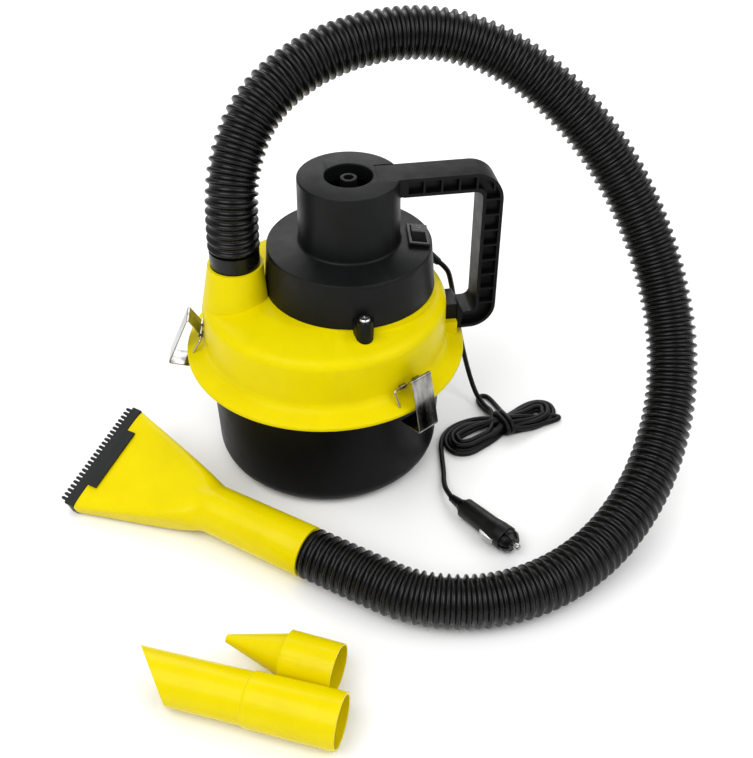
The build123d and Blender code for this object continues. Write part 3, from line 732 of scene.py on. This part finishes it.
# ---- latch clips ----
def make_clip(side, azimuth_deg, swing_deg):
    """Bent sheet clip with rounded bends, swung out about its wire."""
    # From the wire up over the rim, down outside it, and in to the hook under the tank's lip.
    line = rounded([(98.6, 115.6), (109.4, 127.7, 1.3), (120.1, 84.0, 1.3), (99.4, 83.0)], 6)
    half_width = CLIP_WIDTH / 2
    half_thickness = CLIP_THICKNESS / 2
    wire_x, wire_z = CLIP_WIRE
    stations = []
    for i, place in enumerate(line):
        before = Vector(line[max(i - 1, 0)])
        after = Vector(line[min(i + 1, len(line) - 1)])
        ahead = (after - before).normalized()
        stations.append((Vector(place), Vector((-ahead[1], ahead[0]))))
    rings = []
    for place, normal in stations:
        outer = place + normal * half_thickness
        inner = place - normal * half_thickness
        rings.append([
            Vector((outer[0], -half_width, outer[1])) * MM,
            Vector((outer[0], half_width, outer[1])) * MM,
            Vector((inner[0], half_width, inner[1])) * MM,
            Vector((inner[0], -half_width, inner[1])) * MM,
        ])
    bm = rings_mesh(rings, closed_ends=True)
    sides = 24
    for y0, y1 in ((-half_width, -4.0), (4.0, half_width)):
        eye = []
        for y, r in ((y0, 1.2), (y0, 2.1), (y1, 2.1), (y1, 1.2)):
            eye.append([Vector((wire_x + r * math.cos(a), y, wire_z + r * math.sin(a))) * MM
                        for a in angles(sides)])
        add_part(bm, rings_mesh(eye, loop=True))
    pivot = Matrix.Translation(Vector((wire_x, 0.0, wire_z)) * MM)
    swing = pivot @ Matrix.Rotation(math.radians(-swing_deg), 4, "Y") @ pivot.inverted()
    bm.transform(Matrix.Rotation(math.radians(azimuth_deg), 4, "Z") @ swing)
    clip = finish_mesh("clip_sheet_" + side, bm, finishes["chromed_sheet"])
    bevel(clip, 0.25, 2, 50.0)
    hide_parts("latch_clip_" + side)
    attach(clip, "clip_" + side)


for side, (azimuth, swing) in CLIP_DEG.items():
    make_clip(side, azimuth, swing)


# ---- marks on the rocker ----
def make_rocker_marks():
    """A raised ring on the far half of the rocker and a short bar by its ridge."""
    turn = pose_matrix(SWITCH_CENTRE, (SWITCH_TURN_DEG, SWITCH_TILT_DEG, 0.0))
    turn = turn @ Matrix.Translation(Vector((0.0, 0.0, 1.2)) * MM)
    turn = turn @ Matrix.Rotation(math.radians(ROCKER_REST_DEG), 4, "X")
    slope = Matrix.Rotation(math.radians(-8.3), 4, "X")
    centre = Vector((0.0, 6.6, 2.32))
    rings = []
    for r, z in ((1.35, 0.0), (1.35, 0.12), (1.85, 0.12), (1.85, 0.0)):
        rings.append([(slope @ Vector((r * math.cos(a), r * math.sin(a), z)) + centre) * MM
                      for a in angles(32)])
    bm = bmesh.new()
    add_part(bm, rings_mesh(rings, loop=True))
    box_mesh(bm, (-1.9, 1.9, 2.86), (1.9, 2.3, 3.05))
    bm.transform(turn)
    marks = finish_mesh("rocker_marks", bm, finishes["mark_grey"])
    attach(marks, "rocker")


make_rocker_marks()


# ---- accessory plug ----
def make_plug_nose(place):
    """Front collar with six lengthwise notches round its rim."""
    profile = rounded([(46.1, 2.7), (46.1, 9.3, 0.5), (50.0, 9.0, 1.6), (53.5, 6.1, 0.8), (53.5, 2.7)])
    notches = 6
    notch_depth = 2.2
    rings = []
    for x, r in profile:
        notched = r > 4.0 and x > 46.4
        ring = []
        for a in angles(96):
            notch = max(0.0, math.cos(notches * a) - 0.72) / 0.28
            depth = notch_depth * min(1.0, notch * 2.0) if notched else 0.0
            ring.append(Vector((x, (r - depth) * math.cos(a), (r - depth) * math.sin(a))) * MM)
        rings.append(ring)
    bm = rings_mesh(rings, loop=True)
    bm.transform(place)
    return finish_mesh("plug_collar", bm, finishes["plug_black"])


def make_plug():
    place = pose_matrix(PLUG_BACK, PLUG_TURN)
    body = lathe("plug_shell", rounded([
        (-0.5, 0.0), (-0.5, 6.0, 0.6), (0.3, 8.2, 1.6), (28.0, 8.9, 6.0), (38.0, 10.1, 3.0),
        (46.0, 10.1, 0.9), (46.0, 3.6), (20.0, 3.6), (20.0, 0.0),
    ]), finishes["plug_black"], place)
    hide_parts("plug_body")
    boot = lathe("plug_relief", rounded([
        (-15.0, 2.12), (-15.0, 3.0, 0.4), (-5.0, 4.3, 1.0), (-3.0, 5.3, 0.6), (-0.4, 6.0, 0.4),
        (-0.4, 2.12),
    ]), finishes["plug_black"], place, segments=48)
    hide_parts("plug_boot")
    nose = make_plug_nose(place)
    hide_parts("plug_nose")
    for piece in (body, boot, nose):
        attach(piece, "head")
    return [body, boot, nose]


plug_pieces = make_plug()


# ---- floor and light ----
def make_floor():
    bm = bmesh.new()
    size = 6.0
    signs = ((-1, -1), (1, -1), (1, 1), (-1, 1))
    corners = [bm.verts.new((x * size, y * size, 0.0)) for x, y in signs]
    bm.faces.new(corners)
    material, tree, shader = graph("floor_white")
    tree.links.new(mixed(tree, noise_of(tree, 3.0), (0.93, 0.93, 0.93), (0.95, 0.95, 0.95)),
                   shader.inputs["Base Color"])
    shader.inputs["Roughness"].default_value = 0.6
    shader.inputs["Specular IOR Level"].default_value = 0.2
    floor = finish_mesh("floor", bm, material)


def make_world():
    world = bpy.data.worlds.new("studio")
    scene.world = world
    world.use_nodes = True
    background = world.node_tree.nodes["Background"]
    background.inputs["Color"].default_value = (1.0, 1.0, 1.0, 1.0)
    background.inputs["Strength"].default_value = 0.58


make_floor()
make_world()
area_light("key", (-0.9, -0.8, 1.7), (0.05, -0.05, 0.08), (1.5, 1.5), 24.0)
area_light("fill", (1.3, -0.9, 1.5), (0.05, -0.05, 0.08), (1.5, 1.5), 16.0)
area_light("back", (0.15, 1.5, 1.35), (0.05, 0.0, 0.1), (2.0, 1.1), 20.0)
